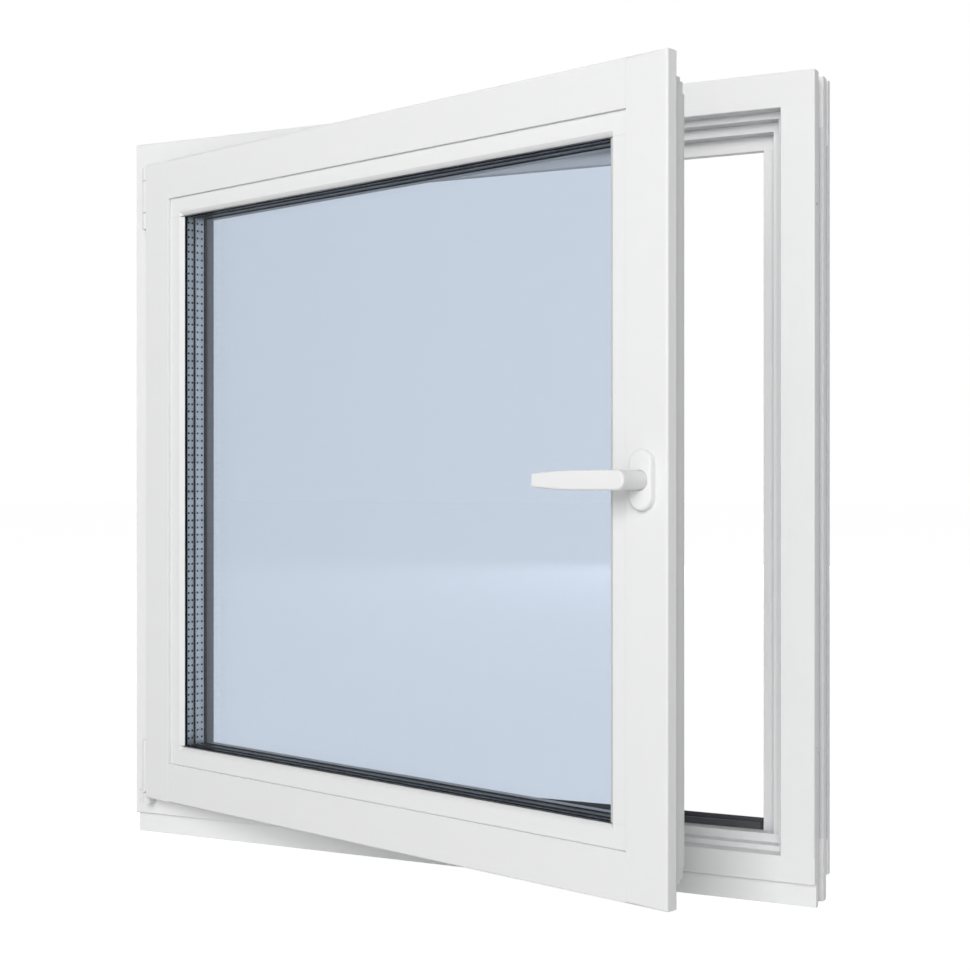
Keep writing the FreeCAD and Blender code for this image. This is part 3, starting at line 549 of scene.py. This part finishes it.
class WindowDresser:
    """Gives every CAD node its finish."""

    # Painted shade tones for the hollows of each kind of member: deep on the frame's jambs, faint elsewhere.
    painted_shades: ClassVar[Dict[Tuple[bool, Run], Colour]] = {
        (False, Run.LEVEL): (0.84, 0.85, 0.86), (False, Run.UPRIGHT): (0.60, 0.62, 0.64),
        (True, Run.LEVEL): (0.80, 0.81, 0.82), (True, Run.UPRIGHT): (0.80, 0.81, 0.82)}
    sash_middle: ClassVar[float] = 0.509
    sight_half: ClassVar[Tuple[float, float]] = (0.3793, 0.3703)
    inner_spacer_depth: ClassVar[float] = 0.021
    outer_spacer_depth: ClassVar[float] = 0.039

    def __init__(self, effects: EffectLibrary) -> None:
        """Build the finishes."""
        self.timber = {}
        for swung_open in (False, True):
            for run in Run:
                name = f"white_timber_{'sash' if swung_open else 'frame'}_{run.value}"
                hollow = self.painted_shades[(swung_open, run)]
                self.timber[(swung_open, run)] = PaintedTimber(name, run, swung_open, hollow).build(effects)
        # The anthracite coat gets a painted highlight on its upward faces.
        self.anthracite = GrittyCoat("anthracite_coat", (0.085, 0.091, 0.100), (0.074, 0.080, 0.088),
                                     0.3, 0.4, upward_highlight=0.5).build(effects)
        self.dark_plastic = GrittyCoat("anthracite_plastic", (0.05, 0.05, 0.055), (0.04, 0.04, 0.045),
                                       0.5, 0.6).build(effects)
        self.rubber = GrittyCoat("seal_rubber", (0.06, 0.068, 0.08), (0.045, 0.05, 0.06),
                                 0.6, 0.75).build(effects)
        self.sealant = GrittyCoat("edge_sealant", (0.02, 0.022, 0.026), (0.015, 0.017, 0.02),
                                  0.5, 0.6).build(effects)
        self.packer = GrittyCoat("block_plastic", (0.08, 0.08, 0.08), (0.06, 0.06, 0.06),
                                 0.45, 0.55).build(effects)
        self.white_cover = GrittyCoat("white_cover", (0.84, 0.84, 0.84), (0.79, 0.79, 0.79),
                                      0.3, 0.38).build(effects)
        self.handle_white = GrittyCoat("handle_white", (0.88, 0.88, 0.88), (0.84, 0.84, 0.84),
                                       0.24, 0.32).build(effects)
        self.zinc_frame = DrawnMetal("zinc_plated_frame", False).build(effects)
        self.zinc_sash = DrawnMetal("zinc_plated_sash", True).build(effects)
        self.zinc_level = DrawnMetal("zinc_plated_level", True, Run.LEVEL).build(effects)
        across, _ = self._turned(0.0)
        self.glass = FloatGlass("float_glass", (across, self.sash_middle), self.sight_half).build()
        inner, outer = (self._turned(depth)[1]
                        for depth in (self.inner_spacer_depth, self.outer_spacer_depth))
        self.inner_spacer = SpacerBar("inner_spacer_bar", inner, 0.006, 0.006).build(effects)
        self.outer_spacer = SpacerBar("outer_spacer_bar", outer, 0.008, 0.0075).build(effects)

    @staticmethod
    def _turned(depth: float) -> Tuple[float, float]:
        """Give where the sash's middle, at a depth of the closed sash, lies on a pattern's turned axes."""
        place = swung(0.0, SASH_FACE + depth, 0.0)
        cos, sin = math.cos(OPEN_ANGLE), math.sin(OPEN_ANGLE)
        return place.x * cos - place.y * sin, place.x * sin + place.y * cos

    def dress(self) -> None:
        """Assign the finishes."""
        timber = self.timber
        chosen = (
            (timber[(False, Run.LEVEL)], ("frame_head", "frame_bottom_rail", "sill_extension")),
            (timber[(False, Run.UPRIGHT)], ("frame_hinge_jamb", "frame_lock_jamb")),
            (timber[(True, Run.LEVEL)], ("sash_top_rail", "sash_bottom_rail", "glazing_bead_top",
                                         "glazing_bead_bottom")),
            (timber[(True, Run.UPRIGHT)], ("sash_hinge_stile", "sash_lock_stile", "glazing_bead_left",
                                           "glazing_bead_right")),
            (self.anthracite, ("weather_bar", "sash_drip_strip")),
            (self.dark_plastic, ("weather_bar_end_caps",)),
            (self.rubber, ("sash_seal", "inner_glass_gasket", "outer_glass_gasket")),
            (self.sealant, ("inner_edge_sealant", "outer_edge_sealant")),
            (self.inner_spacer, ("inner_spacer",)),
            (self.outer_spacer, ("outer_spacer",)),
            (self.glass, ("inner_pane", "middle_pane", "outer_pane")),
            (self.packer, ("glazing_blocks",)),
            (self.zinc_frame, ("top_hinge_pin",)),
            (self.zinc_sash, ("lock_faceplate", "tilt_bush", "pivot_post", "handle_spindle")),
            (self.zinc_level, ("top_faceplate", "bottom_faceplate", "stay_arm")),
            (self.white_cover, ("top_hinge_knuckles", "corner_bearing", "corner_hinge_cover")),
            (self.handle_white, ("handle_rosette", "handle_lever")),
        )
        for material, names in chosen:
            for node in names:
                paint(node, material)
                if material in timber.values():
                    soften(node)
                LOG.info("dressed %s with %s", node, material.name)


class Bench:
    """Hand steps that every modelled piece shares."""

    @staticmethod
    def clear() -> None:
        """Leave edit mode and select nothing."""
        if bpy.context.mode != "OBJECT":
            bpy.ops.object.mode_set(mode="OBJECT")
        bpy.ops.object.select_all(action="DESELECT")

    @staticmethod
    def named(name: str) -> bpy.types.Object:
        """Name the piece that was just added, with its mesh."""
        piece = bpy.context.object
        piece.name = name
        piece.data.name = name
        return piece

    @classmethod
    def box(cls, name: str, low: Point, high: Point) -> bpy.types.Object:
        """Add a block between two corners and keep its size in its mesh."""
        cls.clear()
        middle = [(a + b) / 2 for a, b in zip(low, high)]
        bpy.ops.mesh.primitive_cube_add(size=1.0, location=middle)
        piece = cls.named(name)
        piece.scale = [b - a for a, b in zip(low, high)]
        bpy.ops.object.transform_apply(location=True, rotation=True, scale=True)
        return piece

    @classmethod
    def bar(cls, name: str, radius: float, middle: Point, length: float, axis: str,
            sides: int = 48) -> bpy.types.Object:
        """Add a round bar.

        Args:
            name: the piece's name.
            radius: its radius, in metres.
            middle: its middle point.
            length: its length, in metres.
            axis: X, Y or Z, the way it points.
            sides: how many flats its outline has.

        Returns:
            The bar.
        """
        cls.clear()
        turns = {"X": (0.0, math.pi / 2, 0.0), "Y": (math.pi / 2, 0.0, 0.0), "Z": (0.0, 0.0, 0.0)}
        bpy.ops.mesh.primitive_cylinder_add(vertices=sides, radius=radius, depth=length, location=middle,
                                            rotation=turns[axis])
        piece = cls.named(name)
        bpy.ops.object.transform_apply(location=True, rotation=True, scale=True)
        return piece

    @staticmethod
    def edit(piece: bpy.types.Object, kind: str, chosen: Callable) -> None:
        """Enter edit mode with the chosen faces or edges selected.

        Args:
            piece: the piece to edit.
            kind: FACE, EDGE or VERT.
            chosen: tells of a face, an edge's two points or one point whether it is meant.
        """
        bpy.context.view_layer.objects.active = piece
        piece.select_set(True)
        bpy.ops.object.mode_set(mode="EDIT")
        bpy.ops.mesh.select_mode(type=kind)
        bpy.ops.mesh.select_all(action="DESELECT")
        bpy.ops.object.mode_set(mode="OBJECT")
        mesh = piece.data
        if kind == "FACE":
            for face in mesh.polygons:
                face.select = bool(chosen(face))
        elif kind == "VERT":
            for point in mesh.vertices:
                point.select = bool(chosen(point.co))
        else:
            for edge in mesh.edges:
                first, second = (mesh.vertices[i].co for i in edge.vertices)
                edge.select = bool(chosen(first, second))
        bpy.ops.object.mode_set(mode="EDIT")

    @staticmethod
    def apply(piece: bpy.types.Object, kind: str, **settings) -> None:
        """Add a modifier with its settings and apply it."""
        bpy.context.view_layer.objects.active = piece
        modifier = piece.modifiers.new(kind.lower(), kind)
        for name, value in settings.items():
            setattr(modifier, name, value)
        bpy.ops.object.modifier_apply(modifier=modifier.name)

    @classmethod
    def combine(cls, piece: bpy.types.Object, tool: bpy.types.Object, operation: str) -> None:
        """Join a second piece to the first, or cut it out, and throw the second away."""
        cls.clear()
        piece.select_set(True)
        cls.apply(piece, "BOOLEAN", object=tool, operation=operation, solver="EXACT")
        bpy.data.meshes.remove(tool.data)

    @classmethod
    def copy(cls, piece: bpy.types.Object, matrix: Matrix) -> bpy.types.Object:
        """Copy a piece with its own mesh, place the copy and keep the place in its mesh."""
        cls.clear()
        twin = piece.copy()
        twin.data = piece.data.copy()
        bpy.context.scene.collection.objects.link(twin)
        twin.matrix_world = matrix
        twin.select_set(True)
        bpy.context.view_layer.objects.active = twin
        bpy.ops.object.transform_apply(location=True, rotation=True, scale=True)
        return twin

    @classmethod
    def join(cls, pieces: Sequence[bpy.types.Object], name: str) -> bpy.types.Object:
        """Join pieces that don't touch into one object."""
        cls.clear()
        for piece in pieces:
            piece.select_set(True)
        bpy.context.view_layer.objects.active = pieces[0]
        bpy.ops.object.join()
        return cls.named(name)

    @classmethod
    def finish(cls, piece: bpy.types.Object, material: bpy.types.Material, body: Body, slot: str,
               turned: bool = True) -> bpy.types.Object:
        """Swing a piece to its place, shade it, and say what it rides on.

        Args:
            piece: the piece, modelled as it lies with the sash closed.
            material: its finish.
            body: what it moves with.
            slot: not used.
            turned: whether it is swung open with the sash.

        Returns:
            The piece.
        """
        cls.clear()
        piece.select_set(True)
        bpy.context.view_layer.objects.active = piece
        if turned:
            piece.matrix_world = swung_matrix()
            bpy.ops.object.transform_apply(location=True, rotation=True, scale=True)
        bpy.ops.object.shade_smooth_by_angle(angle=SMOOTH_ANGLE)
        piece.data.materials.clear()
        piece.data.materials.append(material)
        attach(piece, body.value)
        LOG.info("modelled %s on the %s, %d faces", piece.name, body.value, len(piece.data.polygons))
        return piece


@dataclass
class HandleSet:
    """The lever: a round neck that runs into a flat blade, round at the neck and square at the tip."""

    axis_x: float = 0.432
    axis_z: float = 0.509
    reach: float = 0.117
    projection: float = 0.050
    thickness: float = 0.013
    root: float = 0.0216
    tip: float = 0.0150
    swell_end: float = 0.42
    swell_power: float = 1.4
    tip_corner: float = 0.0022
    front_round: float = 0.0026
    back_round: float = 0.0030
    neck_radius: float = 0.0104
    neck_gap: float = 0.0005
    grain_size: float = 0.0005
    smoothing: int = 6
    kept_faces: float = 0.5
    cuts: int = 11

    def build(self, material: bpy.types.Material) -> None:
        """Model the lever and let it stand for the plain one."""
        front = SASH_FACE - self.projection
        back = front + self.thickness
        left, right = self.axis_x - self.reach, self.axis_x + self.root / 2
        blade = Bench.box("lever_grip", (left, front, self.axis_z - self.root / 2),
                          (right, back, self.axis_z + self.root / 2))
        self._taper(blade, left, right, back)
        for x, radius, segments in ((left, self.tip_corner, 4), (right, self.root / 2 * 0.98, 12)):
            Bench.edit(blade, "EDGE", lambda a, b: abs(a.x - x) < NEAR and abs(b.x - x) < NEAR
                       and abs(a.y - b.y) > self.thickness / 2)
            bpy.ops.mesh.bevel(offset=radius, segments=segments, affect="EDGES")
            Bench.clear()
        for depth, width in ((front, self.front_round), (back, self.back_round)):
            Bench.edit(blade, "FACE", lambda face: abs(face.center.y - depth) < NEAR)
            bpy.ops.mesh.dissolve_faces()
            bpy.ops.mesh.bevel(offset=width, segments=5, affect="EDGES")
            Bench.clear()
        foot = SASH_FACE - self.neck_gap
        start = front + self.thickness / 2
        neck = Bench.bar("lever_neck", self.neck_radius, (self.axis_x, (start + foot) / 2, self.axis_z),
                         foot - start, "Y", 64)
        Bench.combine(blade, neck, "UNION")
        Bench.apply(blade, "REMESH", mode="VOXEL", voxel_size=self.grain_size)
        Bench.apply(blade, "SMOOTH", factor=0.5, iterations=self.smoothing)
        Bench.apply(blade, "DECIMATE", ratio=self.kept_faces)
        lever = Bench.finish(blade, material, Body.HANDLE, "handle_white")
        bpy.ops.object.shade_smooth()
        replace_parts(lever, "handle_lever")

    def _taper(self, blade: bpy.types.Object, left: float, right: float, back: float) -> None:
        """Narrow the blade towards its tip in a soft curve.

        Args:
            blade: the straight block.
            left: where its tip is.
            right: where its root is.
            back: the depth of its back.
        """
        Bench.edit(blade, "EDGE", lambda a, b: abs(a.x - b.x) > self.reach / 2)
        bpy.ops.mesh.subdivide(number_cuts=self.cuts)
        Bench.clear()
        step = (right - left) / (self.cuts + 1)
        for index in range(self.cuts + 1):
            share = index / (self.cuts + 1) / self.swell_end
            if share >= 1.0:
                break
            height = self.tip + (self.root - self.tip) * (1.0 - (1.0 - share) ** self.swell_power)
            place = left + index * step
            Bench.edit(blade, "VERT", lambda point: abs(point.x - place) < step / 4)
            bpy.ops.transform.resize(value=(1.0, 1.0, height / self.root),
                                     center_override=(place, back, self.axis_z))
            Bench.clear()


@dataclass
class PlateScrews:
    """Countersunk cross screws along the faceplates in the edges of the sash."""

    head_radius: float = 0.0034
    head_height: float = 0.0008
    crown_inset: float = 0.0011
    crown_height: float = 0.00025
    recess_length: float = 0.0036
    recess_width: float = 0.0008
    recess_depth: float = 0.0006
    plate_depth: float = -0.003
    lock_edge: float = 0.443
    top_edge: float = 0.943
    bottom_edge: float = 0.075
    lock_heights: Tuple[float, ...] = (0.150, 0.268, 0.386, 0.632, 0.750, 0.868)
    rail_places: Tuple[float, ...] = (-0.360, -0.250, -0.060, 0.060, 0.250, 0.360)

    def build(self, material: bpy.types.Material) -> None:
        """Model one screw and set a copy at each place."""
        screw = self._screw()
        ways = {"out": Matrix.Rotation(math.pi / 2, 4, "Y"), "up": Matrix.Identity(4),
                "down": Matrix.Rotation(math.pi, 4, "X")}
        spots = [("out", (self.lock_edge, self.plate_depth, z)) for z in self.lock_heights]
        spots += [("up", (x, self.plate_depth, self.top_edge)) for x in self.rail_places]
        spots += [("down", (x, self.plate_depth, self.bottom_edge)) for x in self.rail_places]
        twins = [Bench.copy(screw, Matrix.Translation(place) @ ways[way]) for way, place in spots]
        bpy.data.meshes.remove(screw.data)
        Bench.finish(Bench.join(twins, "faceplate_screws"), material, Body.SASH, "hardware_steel")

    def _screw(self) -> bpy.types.Object:
        """Model a screw head that points up, its seat at the origin."""
        height = self.head_height
        head = Bench.bar("screw_head", self.head_radius, (0.0, 0.0, 0.0), height, "Z", 32)
        Bench.edit(head, "FACE", lambda face: face.normal.z > FACING_UP)
        bpy.ops.mesh.inset(thickness=self.crown_inset)
        bpy.ops.transform.translate(value=(0.0, 0.0, self.crown_height))
        Bench.clear()
        reach, wide = self.recess_length / 2, self.recess_width / 2
        low, high = height / 2 + self.crown_height - self.recess_depth, height * 2
        for across, along in ((reach, wide), (wide, reach)):
            slot = Bench.box("screw_slot", (-across, -along, low), (across, along, high))
            Bench.combine(head, slot, "DIFFERENCE")
        return head


@dataclass
class HingeCovers:
    """White covers over the barrels of both hinges, with their washers and domed caps."""

    radius: float = 0.0070
    stay_radius: float = 0.0068
    cap_radius: float = 0.0066
    washer_radius: float = 0.0073
    washer: float = 0.0005
    wall: float = -0.012
    knuckles: Tuple[Tuple[float, float], ...] = ((0.8725, 0.8940), (0.9405, 0.9580))
    barrel: Tuple[float, float] = (0.8948, 0.9397)
    corner: Tuple[float, float] = (0.0640, 0.1360)
    corner_hollow: float = 0.0043
    hollow_top: float = 0.0770
    pin_hole: float = 0.0033
    tilt_line: float = 0.071
    sash_edge: float = -0.462
    web: float = 0.005
    edge_round: float = 0.0006
    cap_height: float = 0.0016
    dome: float = 0.0008

    def build(self, material: bpy.types.Material) -> None:
        """Model the covers of the top hinge, the corner cover and the caps."""
        parts = [self._knuckle(low, high) for low, high in self.knuckles]
        cap = self._cap()
        turned_down = Matrix.Rotation(math.pi, 4, "X")
        low, high = self.knuckles[0][0], self.knuckles[-1][1]
        parts.append(Bench.copy(cap, Matrix.Translation((*HINGE_LINE, high))))
        parts.append(Bench.copy(cap, Matrix.Translation((*HINGE_LINE, low)) @ turned_down))
        parts.append(self._washer(low))
        parts.append(self._washer(self.knuckles[-1][0]))
        top = Bench.finish(Bench.join(parts, "top_hinge_covers"), material, Body.FRAME, "white_cover", False)
        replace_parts(top, "top_hinge_knuckles")
        sleeve = self._round_cover("stay_barrel_cover", self.stay_radius, *self.barrel)
        Bench.finish(sleeve, material, Body.STAY, "white_cover")
        corner_parts = [self._corner(), Bench.copy(cap, Matrix.Translation((*HINGE_LINE, self.corner[1])))]
        corner = Bench.join(corner_parts, "corner_hinge_sleeve")
        bpy.data.meshes.remove(cap.data)
        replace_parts(Bench.finish(corner, material, Body.SASH, "white_cover"), "corner_hinge_cover")

    def _round_cover(self, name: str, radius: float, low: float, high: float) -> bpy.types.Object:
        """Model a round cover on the hinge line with soft ends."""
        cover = Bench.bar(name, radius, (*HINGE_LINE, (low + high) / 2), high - low, "Z", 56)
        Bench.apply(cover, "BEVEL", width=self.edge_round, segments=3, angle_limit=BEVEL_ANGLE)
        return cover

    def _knuckle(self, low: float, high: float) -> bpy.types.Object:
        """Model one knuckle of the frame, round in front and reaching back to the frame's face."""
        cover = Bench.bar("knuckle", self.radius, (*HINGE_LINE, (low + high) / 2), high - low, "Z", 56)
        x, y = HINGE_LINE
        back = Bench.box("knuckle_back", (x - self.radius, y, low), (x + self.radius, self.wall, high))
        Bench.combine(cover, back, "UNION")
        Bench.apply(cover, "BEVEL", width=self.edge_round, segments=3, angle_limit=BEVEL_ANGLE)
        return cover

    def _washer(self, middle: float) -> bpy.types.Object:
        """Model a thin washer that stands a little proud of the covers."""
        return Bench.bar("washer", self.washer_radius, (*HINGE_LINE, middle), self.washer, "Z", 56)

    def _corner(self) -> bpy.types.Object:
        """Model the sleeve over the swivel post, hollow below, with its web to the sash."""
        x, y = HINGE_LINE
        low, high = self.corner
        sleeve = self._round_cover("corner_sleeve", self.radius, low, high)
        web = Bench.box("web", (x, y - self.web, low), (self.sash_edge, y + self.web, high))
        Bench.combine(sleeve, web, "UNION")
        depth = self.hollow_top - low
        hollow = Bench.bar("hollow", self.corner_hollow, (x, y, self.hollow_top - depth), 2 * depth, "Z", 40)
        Bench.combine(sleeve, hollow, "DIFFERENCE")
        reach = self.sash_edge - x
        pin_way = Bench.bar("pin_way", self.pin_hole, (x + reach, y, self.tilt_line), 2 * reach, "X", 32)
        Bench.combine(sleeve, pin_way, "DIFFERENCE")
        return sleeve

    def _cap(self) -> bpy.types.Object:
        """Model a domed cap that points up, its seat at the origin."""
        height = self.cap_height
        cap = Bench.bar("hinge_cap", self.cap_radius, (0.0, 0.0, height / 2), height, "Z", 48)
        Bench.edit(cap, "FACE", lambda face: face.normal.z > FACING_UP)
        for inset, rise in ((0.28, 0.6), (0.32, 0.4)):
            bpy.ops.mesh.inset(thickness=self.cap_radius * inset)
            bpy.ops.transform.translate(value=(0.0, 0.0, self.dome * rise))
        Bench.clear()
        Bench.apply(cap, "BEVEL", width=self.edge_round / 2, segments=2, angle_limit=BEVEL_ANGLE)
        return cap


@dataclass
class StayRivets:
    """Round rivet heads on the flat bar of the tilt stay."""

    radius: float = 0.0036
    height: float = 0.0011
    bar_top: float = 0.9475
    bar_depth: float = -0.003
    places: Tuple[float, ...] = (-0.1195, -0.200, -0.420)

    def build(self, material: bpy.types.Material) -> None:
        """Model one rivet head and set a copy at each place."""
        head = Bench.bar("rivet_head", self.radius, (0.0, 0.0, self.height / 2), self.height, "Z", 32)
        Bench.edit(head, "FACE", lambda face: face.normal.z > FACING_UP)
        bpy.ops.mesh.bevel(offset=self.height * 0.7, segments=4, affect="EDGES")
        Bench.clear()
        twins = [Bench.copy(head, Matrix.Translation((x, self.bar_depth, self.bar_top))) for x in self.places]
        bpy.data.meshes.remove(head.data)
        Bench.finish(Bench.join(twins, "stay_rivets"), material, Body.STAY, "hardware_steel")


@dataclass(frozen=True)
class Lamp:
    """A square soft lamp that only lights: it isn't seen, mirrored or passed on by the panes."""

    name: str
    place: Point
    size: float
    power: float
    aim: ClassVar[Point] = (0.0, 0.0, 0.5)

    def hang(self) -> None:
        """Hang the lamp so that it looks at the window's middle."""
        light = bpy.data.lights.new(self.name, "AREA")
        light.shape = "SQUARE"
        light.size = self.size
        light.energy = self.power
        lamp = bpy.data.objects.new(self.name, light)
        bpy.context.scene.collection.objects.link(lamp)
        lamp.visible_camera = False
        lamp.visible_glossy = False
        lamp.visible_transmission = False
        lamp.location = self.place
        lamp.rotation_euler = (Vector(self.aim) - Vector(self.place)).to_track_quat("-Z", "Y").to_euler()
        LOG.info("hung %s of %.0f W", self.name, self.power)


@dataclass
class Studio:
    """Floor, lamps, white surroundings and the camera."""

    lens: float = 60.4034
    sensor: float = 36.0
    camera_place: Point = (0.99627, -1.91732, 0.50407)
    turn: float = math.radians(25.904)
    shift: Tuple[float, float] = (-0.00445, -0.00031)
    floor_size: float = 80.0
    room_tone: Colour = (0.98, 0.99, 1.0)
    room_light: float = 0.25
    floor_matt: float = 0.85
    floor_glow: float = 0.944
    floor_shadow: float = 0.2
    lamps: Tuple[Lamp, ...] = (
        Lamp("front_lamp", (1.7, -7.6, 2.9), 4.4, 470.0),
        Lamp("left_lamp", (-2.6, -3.0, 0.9), 2.4, 6.0),
        Lamp("back_lamp", (-0.6, 8.0, 1.4), 3.0, 240.0),
    )

    def build(self) -> None:
        """Make all of it."""
        self._world()
        self._floor()
        for lamp in self.lamps:
            lamp.hang()
        self._camera()

    @staticmethod
    def _seen_white(nodes: Nodes, coordinates: str) -> bpy.types.NodeSocket:
        """Give 1 for rays that show the surroundings, except mirrored ones that end on the room's side.

        Args:
            nodes: the tree of the floor's or the world's shader.
            coordinates: the output of Texture Coordinate whose Y is above 0 on the outer side.

        Returns:
            The share of white.
        """
        path = nodes.add("ShaderNodeLightPath").outputs
        seen = nodes.math("MAXIMUM", path["Is Camera Ray"], path["Is Glossy Ray"])
        seen = nodes.math("MAXIMUM", seen, path["Is Transmission Ray"])
        straight = nodes.math("LESS_THAN", path["Diffuse Depth"], 0.5)
        outward = nodes.math("GREATER_THAN", nodes.parts(nodes.coordinates(coordinates))[1], 0.0)
        plain = nodes.math("LESS_THAN", path["Glossy Depth"], 0.5)
        lit = nodes.math("MULTIPLY", straight, nodes.math("MAXIMUM", outward, plain))
        return nodes.math("MULTIPLY", seen, lit)

    def _world(self) -> None:
        """Light the scene evenly, and show white behind it."""
        world = bpy.data.worlds.new("white_room")
        bpy.context.scene.world = world
        world.use_nodes = True
        world.node_tree.nodes.clear()
        nodes = Nodes(world.node_tree)
        light = nodes.add("ShaderNodeBackground", {"Color": rgba(self.room_tone),
                                                   "Strength": self.room_light})
        white = nodes.add("ShaderNodeBackground", {"Color": grey(1.0), "Strength": 1.0})
        mix = nodes.add("ShaderNodeMixShader", {0: self._seen_white(nodes, "Generated"), 1: light.outputs[0],
                                                2: white.outputs[0]})
        nodes.add("ShaderNodeOutputWorld", {"Surface": mix.outputs[0]})

    def _floor(self) -> None:
        """Lay a pale floor that keeps the window's shadow, and has the room's tone where it is mirrored."""
        bpy.ops.object.select_all(action="DESELECT")
        bpy.ops.mesh.primitive_plane_add(size=self.floor_size, location=(0.0, 0.0, 0.0))
        floor = bpy.context.object
        floor.name = "studio_floor"
        material = bpy.data.materials.new("pale_floor")
        material.use_nodes = True
        material.node_tree.nodes.clear()
        nodes = Nodes(material.node_tree)
        matt = nodes.add("ShaderNodeBsdfDiffuse", {"Color": grey(self.floor_matt)})
        glow = nodes.add("ShaderNodeEmission", {"Color": grey(1.0), "Strength": self.floor_glow})
        thin = nodes.add("ShaderNodeBsdfDiffuse", {"Color": grey(self.floor_shadow)})
        both = nodes.add("ShaderNodeAddShader", {0: thin.outputs[0], 1: glow.outputs[0]})
        calm = nodes.add("ShaderNodeEmission", {"Color": rgba(self.room_tone), "Strength": self.room_light})
        mirrored = nodes.add("ShaderNodeLightPath").outputs["Is Glossy Ray"]
        room = nodes.add("ShaderNodeMixShader", {0: mirrored, 1: matt.outputs[0], 2: calm.outputs[0]})
        choose = nodes.add("ShaderNodeMixShader", {0: self._seen_white(nodes, "Object"), 1: room.outputs[0],
                                                   2: both.outputs[0]})
        nodes.add("ShaderNodeOutputMaterial", {"Surface": choose.outputs[0]})
        floor.data.materials.append(material)

    def _camera(self) -> None:
        """Stand the camera where the photograph was taken."""
        data = bpy.data.cameras.new("photo_camera")
        data.lens = self.lens
        data.sensor_width = self.sensor
        data.shift_x, data.shift_y = self.shift
        camera = bpy.data.objects.new("photo_camera", data)
        bpy.context.scene.collection.objects.link(camera)
        camera.location = self.camera_place
        camera.rotation_euler = (math.radians(90.0), 0.0, self.turn)
        bpy.context.scene.camera = camera
        bpy.context.scene.view_settings.view_transform = "Standard"


def main() -> None:
    """Build the scene in order."""
    logging.basicConfig(level=logging.INFO, format="%(message)s")
    effects = EffectLibrary()
    dresser = WindowDresser(effects)
    dresser.dress()
    HandleSet().build(dresser.handle_white)
    PlateScrews().build(dresser.zinc_sash)
    HingeCovers().build(dresser.white_cover)
    StayRivets().build(dresser.zinc_level)
    Studio().build()


if __name__ == "__main__":
    main()
